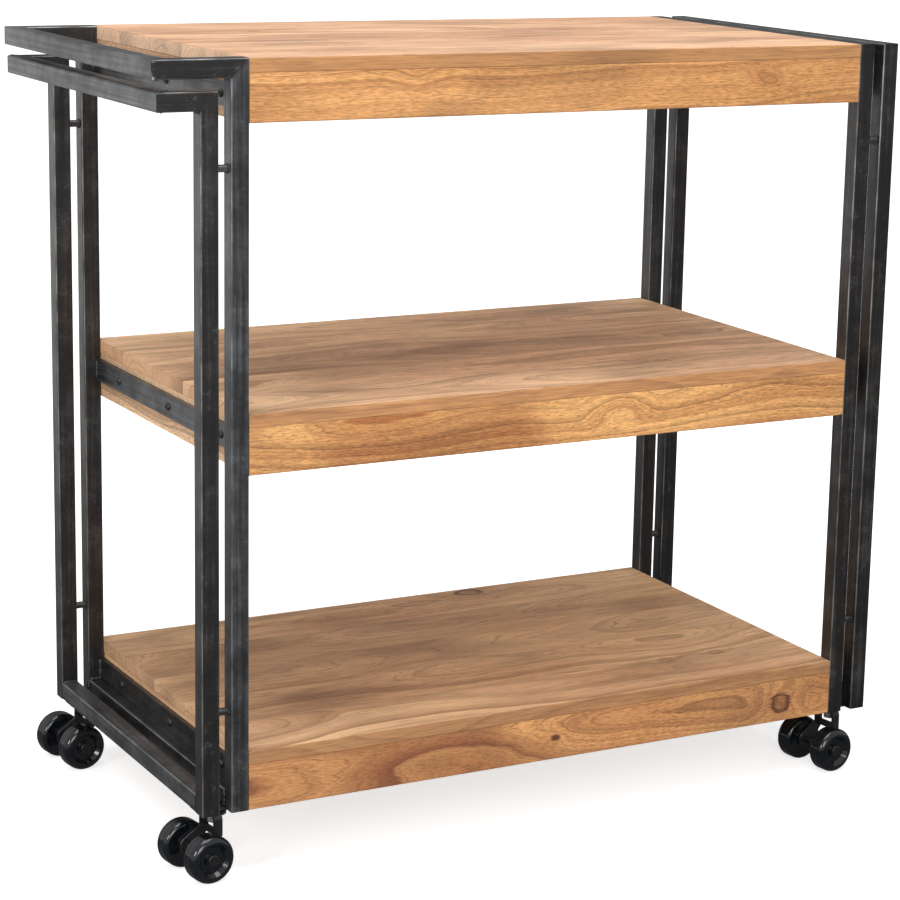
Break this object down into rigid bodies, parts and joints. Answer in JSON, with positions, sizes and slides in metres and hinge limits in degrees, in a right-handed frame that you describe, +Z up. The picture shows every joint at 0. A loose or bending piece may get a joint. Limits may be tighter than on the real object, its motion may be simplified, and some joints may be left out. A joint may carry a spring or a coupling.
{
  "type": "serving cart",
  "caption": "Open serving cart with thick wooden shelves between double square-tube steel ends, a double-loop push handle and swivelling twin-wheel casters.",
  "frame": {"origin": "on the floor, under the middle of the cart's bounding box", "axes": "+X away from the handle along the shelves, +Y from the pictured front to the back, +Z up"},
  "size_m": [0.9, 0.4706, 0.86],
  "materials": {
    "deck_wood": "oiled",
    "apron_wood": "oiled",
    "black_steel": "satin black lacquer",
    "fork_steel": "satin black",
    "screw_steel": "black oxide",
    "zinc_steel": "zinc plated",
    "black_plastic": "glossy moulded"
  },
  "bodies": {
    "cart": {"bottom_deck": "deck_wood", "bottom_front_apron": "apron_wood", "bottom_rear_apron": "apron_wood", "bottom_end_rails": "apron_wood", "bottom_left_bracket": "black_steel", "bottom_right_bracket": "black_steel", "middle_deck": "deck_wood", "middle_front_apron": "apron_wood", "middle_rear_apron": "apron_wood", "middle_end_rails": "apron_wood", "middle_left_bracket": "black_steel", "middle_right_bracket": "black_steel", "top_deck": "deck_wood", "top_front_apron": "apron_wood", "top_rear_apron": "apron_wood", "top_end_rails": "apron_wood", "top_left_bracket": "black_steel", "top_right_bracket": "black_steel", "left_inner_front_post": "black_steel", "upper_handle_front_arm": "black_steel", "upper_handle_bar": "black_steel", "upper_handle_rear_arm": "black_steel", "left_inner_rear_post": "black_steel", "left_outer_front_post": "black_steel", "lower_handle_front_arm": "black_steel", "lower_handle_bar": "black_steel", "lower_handle_rear_arm": "black_steel", "left_outer_rear_post": "black_steel", "right_inner_front_post": "black_steel", "right_inner_top_rail": "black_steel", "right_inner_rear_post": "black_steel", "right_outer_front_post": "black_steel", "right_outer_top_rail": "black_steel", "right_outer_rear_post": "black_steel", "left_inner_bottom_rail": "black_steel", "left_outer_bottom_rail": "black_steel", "right_inner_bottom_rail": "black_steel", "right_outer_bottom_rail": "black_steel", "bracket_screws": "screw_steel", "spacer_pins": "black_steel", "caster_plates": "black_steel", "caster_stems": "zinc_steel", "caster_washers": "zinc_steel", "caster_nuts": "zinc_steel"},
    "front_left_caster": {"front_left_caster_fork": "fork_steel", "front_left_caster_axle": "screw_steel"},
    "front_left_caster_front_wheel": {"front_left_caster_front_wheel": "black_plastic"},
    "front_left_caster_rear_wheel": {"front_left_caster_rear_wheel": "black_plastic"},
    "front_right_caster": {"front_right_caster_fork": "fork_steel", "front_right_caster_axle": "screw_steel"},
    "front_right_caster_front_wheel": {"front_right_caster_front_wheel": "black_plastic"},
    "front_right_caster_rear_wheel": {"front_right_caster_rear_wheel": "black_plastic"},
    "rear_left_caster": {"rear_left_caster_fork": "fork_steel", "rear_left_caster_axle": "screw_steel"},
    "rear_left_caster_front_wheel": {"rear_left_caster_front_wheel": "black_plastic"},
    "rear_left_caster_rear_wheel": {"rear_left_caster_rear_wheel": "black_plastic"},
    "rear_right_caster": {"rear_right_caster_fork": "fork_steel", "rear_right_caster_axle": "screw_steel"},
    "rear_right_caster_front_wheel": {"rear_right_caster_front_wheel": "black_plastic"},
    "rear_right_caster_rear_wheel": {"rear_right_caster_rear_wheel": "black_plastic"}
  },
  "joints": [
    {"name": "front_left_caster_swivel", "type": "hinge", "parent": "cart", "child": "front_left_caster", "pos_m": [-0.3735, -0.1898, 0.0662], "axis": [0, 0, 1], "continuous": true},
    {"name": "front_left_caster_front_wheel_spin", "type": "hinge", "parent": "front_left_caster", "child": "front_left_caster_front_wheel", "pos_m": [-0.39628, -0.193, 0.026], "axis": [-0.1392, 0.9903, 0], "continuous": true},
    {"name": "front_left_caster_rear_wheel_spin", "type": "hinge", "parent": "front_left_caster", "child": "front_left_caster_rear_wheel", "pos_m": [-0.39628, -0.193, 0.026], "axis": [-0.1392, 0.9903, 0], "continuous": true},
    {"name": "front_right_caster_swivel", "type": "hinge", "parent": "cart", "child": "front_right_caster", "pos_m": [0.4235, -0.1898, 0.0662], "axis": [0, 0, 1], "continuous": true},
    {"name": "front_right_caster_front_wheel_spin", "type": "hinge", "parent": "front_right_caster", "child": "front_right_caster_front_wheel", "pos_m": [0.40072, -0.193, 0.026], "axis": [-0.1392, 0.9903, 0], "continuous": true},
    {"name": "front_right_caster_rear_wheel_spin", "type": "hinge", "parent": "front_right_caster", "child": "front_right_caster_rear_wheel", "pos_m": [0.40072, -0.193, 0.026], "axis": [-0.1392, 0.9903, 0], "continuous": true},
    {"name": "rear_left_caster_swivel", "type": "hinge", "parent": "cart", "child": "rear_left_caster", "pos_m": [-0.3735, 0.1962, 0.0662], "axis": [0, 0, 1], "continuous": true},
    {"name": "rear_left_caster_front_wheel_spin", "type": "hinge", "parent": "rear_left_caster", "child": "rear_left_caster_front_wheel", "pos_m": [-0.39628, 0.193, 0.026], "axis": [-0.1392, 0.9903, 0], "continuous": true},
    {"name": "rear_left_caster_rear_wheel_spin", "type": "hinge", "parent": "rear_left_caster", "child": "rear_left_caster_rear_wheel", "pos_m": [-0.39628, 0.193, 0.026], "axis": [-0.1392, 0.9903, 0], "continuous": true},
    {"name": "rear_right_caster_swivel", "type": "hinge", "parent": "cart", "child": "rear_right_caster", "pos_m": [0.4235, 0.1962, 0.0662], "axis": [0, 0, 1], "continuous": true},
    {"name": "rear_right_caster_front_wheel_spin", "type": "hinge", "parent": "rear_right_caster", "child": "rear_right_caster_front_wheel", "pos_m": [0.40072, 0.193, 0.026], "axis": [-0.1392, 0.9903, 0], "continuous": true},
    {"name": "rear_right_caster_rear_wheel_spin", "type": "hinge", "parent": "rear_right_caster", "child": "rear_right_caster_rear_wheel", "pos_m": [0.40072, 0.193, 0.026], "axis": [-0.1392, 0.9903, 0], "continuous": true}
  ]
}
